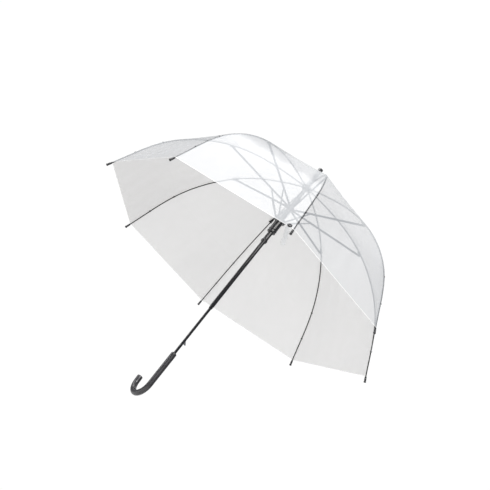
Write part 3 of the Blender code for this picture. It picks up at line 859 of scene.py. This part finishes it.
def make_ferrule(polished):
    low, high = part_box("ferrule")
    base, top = low.z, high.z
    profile = raised(FERRULE_FOOT, base) + raised(FERRULE_GROOVE, top)
    profile += rounded(0.0070, top - 0.0145, top, 0.0012)[5:]
    profile += raised(FERRULE_END, top)
    ferrule = Form().lathe(profile, sides=ROUND)
    ferrule.piece("ferrule_turned", [polished], "root", "fitting_black", ["ferrule"])


def make_tube(tube):
    low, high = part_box("upper_tube")
    bottom, top, outer = low.z, high.z, high.x
    bore = outer - TUBE_WALL
    profile = [
        (bore, bottom), (bore + 0.0005, bottom), (bore + 0.0008, bottom + 0.0012), (outer, bottom + TUBE_MOUTH),
        (outer, top), (bore, top), (bore, bottom),
    ]
    Form().lathe(profile, sides=ROUND).piece("upper_tube_turned", [tube], "root", "shaft_black", ["upper_tube"])


def make_runner_rings(plastic):
    low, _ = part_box("drive_runner")
    collar = Form()
    for height in (0.0004, 0.0080):
        collar.lathe(raised(SLEEVE_RING, low.z + height), sides=ROUND)
    collar.piece("sleeve_rings", [plastic], "drive", "fitting_black")

    low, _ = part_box("upper_runner")
    collar = Form().lathe(raised(COLLAR_RING, low.z), sides=ROUND)
    collar.piece("runner_collar_ring", [plastic], "runner", "fitting_black")


def make_pivot_wires(steel):
    """The wire ring that threads the eight pins of the notch, and those of each runner."""
    for name, joint, body in (
        ("notch_wire", "rib_root_1_hinge", "root"),
        ("runner_wire", "stretcher_1_hinge", "runner"),
        ("drive_wire", "brace_1_hinge", "drive"),
    ):
        reach, height = flat_place(joint)
        turns = [2 * math.pi * m / 8 for m in range(8)]
        rings = []
        for k in range(72):
            radial = outward(2 * math.pi * k / 72)
            middle = reach * radial + height * UP
            rings.append([middle + PIVOT_WIRE * (math.cos(t) * radial + math.sin(t) * UP) for t in turns])
        Form().rings(rings, joined=True).piece(name, [steel], body, "spring_steel")


def make_shaft_pieces(tube, plastic, polished, steel):
    make_ferrule(polished)
    make_tube(tube)
    make_runner_rings(plastic)
    make_pivot_wires(steel)


SPRING_WIRE = 0.0005
SPRING_TURNS = 7
SPRING_STEPS = 32  # to a turn
SPRING_SETTLE = 0.045  # how much closer the end turns lie than the middle ones


def make_spring(steel):
    low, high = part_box("drive_spring")
    radius = (high.x - low.x) / 2 - SPRING_WIRE
    top, bottom = high.z - SPRING_WIRE, low.z + SPRING_WIRE
    steps = SPRING_TURNS * SPRING_STEPS
    line = []
    for i in range(steps + 1):
        share = i / steps
        settled = min(1, max(0, share + SPRING_SETTLE * math.sin(2 * math.pi * share)))
        line.append(radius * outward(2 * math.pi * i / SPRING_STEPS) + (top + (bottom - top) * settled) * UP)
    coil = Form().tube(line, SPRING_WIRE, sides=8)
    made = coil.piece("drive_coil", [steel], "runner", "spring_steel", ["drive_spring"])
    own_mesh(made)


# Handle

BEND_RADIUS, BEND_ANGLE = 0.035, math.radians(175)
BEND_STEPS, GRIP_STEPS, SHOULDER_STEPS = 56, 30, 6
SHOULDER = 0.0026
GRIP_END = (  # past the bend, and its share of the grip's radius there
    (0.004, 1.0), (0.009, 1.0), (0.0128, 1.0), (0.0142, 0.985), (0.0152, 0.94), (0.0158, 0.87),
)
PLUG_REACH = 0.01575
END_PLUG = [
    (0.0, 0.0), (0.0062, 0.0), (0.0062, 0.0002), (0.0056, 0.0006), (0.0048, 0.0007), (0.0044, 0.0004), (0.0, 0.0004),
]
GRIP_RING = [
    (0.0040, -0.0004), (0.0055, -0.0004), (0.0056, 0.0002), (0.0054, 0.0008), (0.0047, 0.0012), (0.0040, 0.0012),
    (0.0040, -0.0004),
]


def make_handle(grip, face, tube):
    """The crook, with a rounded shoulder round the shaft and a plug in its end."""
    low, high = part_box("crook_handle")
    radius, top = high.y, high.z
    bend_start = low.z + radius + BEND_RADIUS
    line, sizes = [], []
    for k in range(SHOULDER_STEPS + 1):
        turn = math.pi / 2 * k / SHOULDER_STEPS
        line.append(Vector((0, 0, top - SHOULDER * (1 - math.cos(turn)))))
        sizes.append(0.74 + 0.26 * math.sin(turn) if k else 0.70)
    for k in range(1, GRIP_STEPS + 1):
        line.append(Vector((0, 0, top - SHOULDER + (bend_start - top + SHOULDER) * k / GRIP_STEPS)))
        sizes.append(1.0)
    for k in range(1, BEND_STEPS + 1):
        turn = BEND_ANGLE * k / BEND_STEPS
        line.append(Vector((BEND_RADIUS * (1 - math.cos(turn)), 0, bend_start - BEND_RADIUS * math.sin(turn))))
        sizes.append(1.0)
    way = Vector((math.sin(BEND_ANGLE), 0, -math.cos(BEND_ANGLE))).normalized()
    end = line[-1].copy()
    for reach, size in GRIP_END:
        line.append(end + reach * way)
        sizes.append(size)
    form = Form().tube(line, [radius * s for s in sizes], sides=40, first_side=Vector((0, 1, 0)))
    form.piece("crook_grip", [grip], "root", "grip_black", ["crook_handle"])
    plug = Form().lathe(END_PLUG, standing(end + PLUG_REACH * way, way, (0, 1, 0)), sides=40)
    plug.piece("crook_end_plug", [face], "root", "grip_black")
    ring = Form().lathe(raised(GRIP_RING, top), sides=40)
    ring.piece("grip_ferrule_ring", [tube], "root", "grip_black")


# Strap

STRAP_PANEL, STRAP_BODY = 3, "rib_tip_4"  # it hangs from this panel's corner on its second rib
STRAP_WIDTH = 0.0120
STRAP_DROP, STRAP_CURL, STRAP_DRIFT = 0.042, 0.020, 0.008  # its end is this far down, inward and aside
STRAP_STEPS = 36
STRAP_ROUNDED = 4  # steps of its rounded end
STRAP_SHEET = 0.0005  # thickness of its film
STUD_TO_STRAP = 0.0023
STUD_CAP = [
    (0.0, -0.0012), (0.0058, -0.0012), (0.0061, -0.0006), (0.0060, 0.0000), (0.0054, 0.0008), (0.0044, 0.0013),
    (0.0034, 0.0014), (0.0028, 0.0009), (0.0016, 0.0006), (0.0, 0.0006),
]
STUD_BACK = [
    (0.0, -0.0038), (0.0030, -0.0038), (0.0036, -0.0034), (0.0036, -0.0030), (0.0014, -0.0028), (0.0014, -0.0013),
    (0.0, -0.0013),
]


def strap_axes():
    """The rim's direction at the strap, the panel's way down and its outer normal."""
    middle = azimuth_of(STRAP_PANEL) + HALF
    along = -sideways(middle)
    corner, before = film_flat(3.0), film_flat(2.95)
    slope = math.atan2(before.y - corner.y, corner.x - before.x)
    down = (outward(middle) * math.cos(slope) * math.cos(HALF) - UP * math.sin(slope)).normalized()
    return along, down, along.cross(down)


def strap_line(start, along, down, out):
    """The strap's middle line, from under the stud down to its free end."""
    inward = -Vector((out.x, out.y, 0)).normalized()
    end = start + STRAP_CURL * inward - STRAP_DRIFT * along - STRAP_DROP * UP
    holds = (start, start + 0.016 * down + 0.004 * out, end + 0.016 * UP - 0.004 * inward, end)
    line = [start - 0.006 * down, start - 0.003 * down]
    for i in range(STRAP_STEPS + 1):
        t = i / STRAP_STEPS
        weights = ((1 - t) ** 3, 3 * t * (1 - t) ** 2, 3 * t * t * (1 - t), t**3)
        line.append(sum((w * p for w, p in zip(weights, holds)), Vector()))
    return line


def make_strap_strip(start, along, down, out, strip, weld):
    """A doubled strip of film, welded down both edges."""
    line = strap_line(start, along, down, out)
    half = STRAP_WIDTH / 2
    columns = (-half, -half + 0.0012, -half + 0.0016, 0.0, half - 0.0016, half - 0.0012, half)
    heights = (0.0, 0.0002, 0.0004, 0.0005, 0.0004, 0.0002, 0.0)
    points, faces, slots, uvs = [], [], [], []
    round_from = len(line) - STRAP_ROUNDED
    travelled = 0.0
    for i, point in enumerate(line):
        ahead = (line[min(i + 1, len(line) - 1)] - line[max(i - 1, 0)]).normalized()
        normal = along.cross(ahead).normalized()
        travelled += (point - line[i - 1]).length if i else 0.0
        rounding = 1.0 if i < round_from else math.sqrt(max(0.0, 1 - ((i - round_from) / 3.4) ** 2))
        for side, height in zip(columns, heights):
            points.append(point + side * rounding * along + (height + 0.0003) * normal)
            uvs.append((side, travelled))
    count = len(columns)
    for i in range(len(line) - 1):
        for k in range(count - 1):
            a = i * count + k
            faces.append((a, a + 1, a + count + 1, a + count))
            slots.append(1 if k in (0, count - 2) else 0)
    form = Form().add(points, faces, slots, uvs)
    made = form.piece(
        "closing_strap_strip", [strip, weld], STRAP_BODY, "strap_film", ["closing_strap"], smooth_angle=60
    )
    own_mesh(made)
    shell = made.modifiers.new("doubled", "SOLIDIFY")
    shell.thickness = STRAP_SHEET
    shell.offset = 0.0


def make_strap(strip, weld, plastic, steel):
    """The closing strap, with a press stud where it leaves the rim."""
    low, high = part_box("strap_snap")
    stud = (low + high) / 2
    along, down, out = strap_axes()
    make_strap_strip(stud - STUD_TO_STRAP * out, along, down, out, strip, weld)
    cap = Form().lathe(STUD_CAP, standing(stud, out, along), sides=40)
    cap.piece("press_stud_cap", [plastic], STRAP_BODY, "snap_black", ["strap_snap"])
    back = Form().lathe(STUD_BACK, standing(stud, out, along), sides=32)
    back.piece("press_stud_back", [steel], STRAP_BODY, "spring_steel")


def finish_cad(names, material, angle=30):
    """CAD nodes that stay: smooth round faces and their own material."""
    for name in names:
        mesh = frame["nodes"][name].data
        mesh.materials.clear()
        mesh.materials.append(material)
        mesh.polygons.foreach_set("use_smooth", [True] * len(mesh.polygons))
        mesh.set_sharp_from_angle(angle=math.radians(angle))


def main():
    make_camera()
    make_stage()
    plastic, rods, tube, steel = moulded_black(), rib_lacquer(), lacquered_tube(), spring_steel()
    film_set = [film(name, **look) for name, look in CANOPY_FILMS]
    strip, strip_edge = (film(name, **look) for name, look in STRAP_FILMS)
    for number in RIBS:
        make_rib(number, rods, plastic)
    make_arms(rods)
    rows = film_table()
    for panel in RIBS:
        for side in (-1, 1):
            for index, segment_rows in enumerate(rows):
                make_film_part(panel, side, index, segment_rows, film_set)
    make_crown(film_set)
    make_shaft_pieces(tube, plastic, polished_black(), steel)
    make_spring(steel)
    make_handle(grip_black(), end_face(), tube)
    make_strap(strip, strip_edge, plastic, steel)
    finish_cad(["top_notch", "upper_runner", "drive_runner"], plastic)
    finish_cad(["lower_shaft"], tube)
    finish_cad(["catch_lever"], steel)


main()
